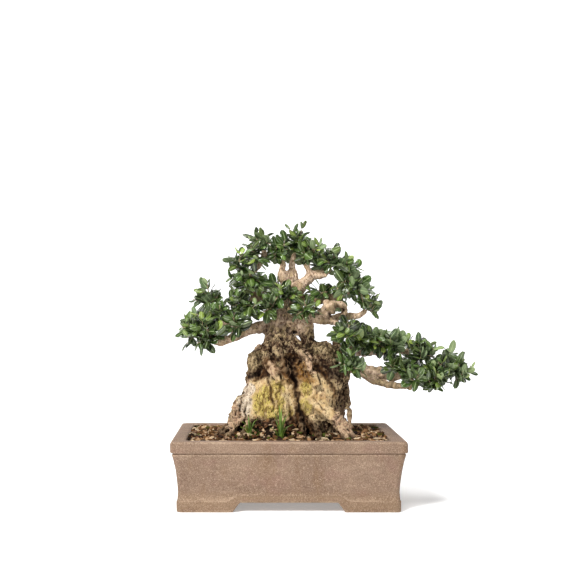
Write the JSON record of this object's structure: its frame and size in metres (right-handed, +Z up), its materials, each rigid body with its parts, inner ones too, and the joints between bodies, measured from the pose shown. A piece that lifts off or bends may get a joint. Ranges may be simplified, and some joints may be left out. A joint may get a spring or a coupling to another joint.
{
  "type": "bonsai tree in pot",
  "caption": "Miniature olive tree with a gnarled stump, spreading leafy limbs and surface roots, growing in a rectangular footed stoneware pot",
  "frame": {"origin": "on the table, under the middle of the whole object's bounding box", "axes": "+X right as seen from the front, +Y to the back, +Z up; the front, with the split face of the stump, faces -Y"},
  "size_m": [0.4064, 0.2004, 0.3646],
  "materials": {
    "stoneware": "matte",
    "planting_mix": "matte",
    "net": "matte",
    "bark": "matte",
    "foliage": "satin",
    "grass": "satin"
  },
  "bodies": {
    "root": {"pot": "stoneware", "drain_mesh_left": "net", "drain_mesh_right": "net", "soil": "planting_mix", "trunk": "bark", "spray_lower_left_tip": "foliage", "spray_lower_left_under": "foliage", "spray_lower_left_top": "foliage", "spray_lower_left_mid": "foliage", "spray_lower_left_inner": "foliage", "spray_lower_left_fore": "foliage", "spray_lower_left_back": "foliage", "spray_lower_left_behind": "foliage", "spray_left_side": "foliage", "spray_left_fore": "foliage", "spray_left_low": "foliage", "spray_left_back": "foliage", "spray_upper_left_end": "foliage", "spray_upper_left_under": "foliage", "spray_upper_left_top": "foliage", "spray_upper_left_back": "foliage", "spray_upper_left_fore": "foliage", "spray_upper_left_mid": "foliage", "spray_crown_left": "foliage", "spray_crown_left_back": "foliage", "spray_crown_top": "foliage", "spray_crown_back": "foliage", "spray_crown_fore": "foliage", "spray_crown_right": "foliage", "spray_crown_right_mid": "foliage", "spray_upper_right_end": "foliage", "spray_upper_right_fore": "foliage", "spray_right_out_end": "foliage", "spray_right_out_back": "foliage", "spray_right_end": "foliage", "spray_middle_left": "foliage", "spray_middle_right": "foliage", "spray_middle_top": "foliage", "spray_middle_small": "foliage", "spray_right_under": "foliage", "spray_long_fore": "foliage", "spray_long_top_near": "foliage", "spray_long_top_mid": "foliage", "spray_long_top_far": "foliage", "spray_long_top_end": "foliage", "spray_long_mid_fore": "foliage", "spray_long_mid_back": "foliage", "spray_long_far_fore": "foliage", "spray_long_far_back": "foliage", "spray_long_tip": "foliage", "spray_long_low_end": "foliage", "spray_long_low_mid": "foliage", "spray_back_left_end": "foliage", "spray_back_right_end": "foliage", "spray_back_low_end": "foliage", "spray_back_low_mid": "foliage", "grass_tuft_tall": "grass", "grass_tuft_short": "grass"}
  },
  "joints": []
}
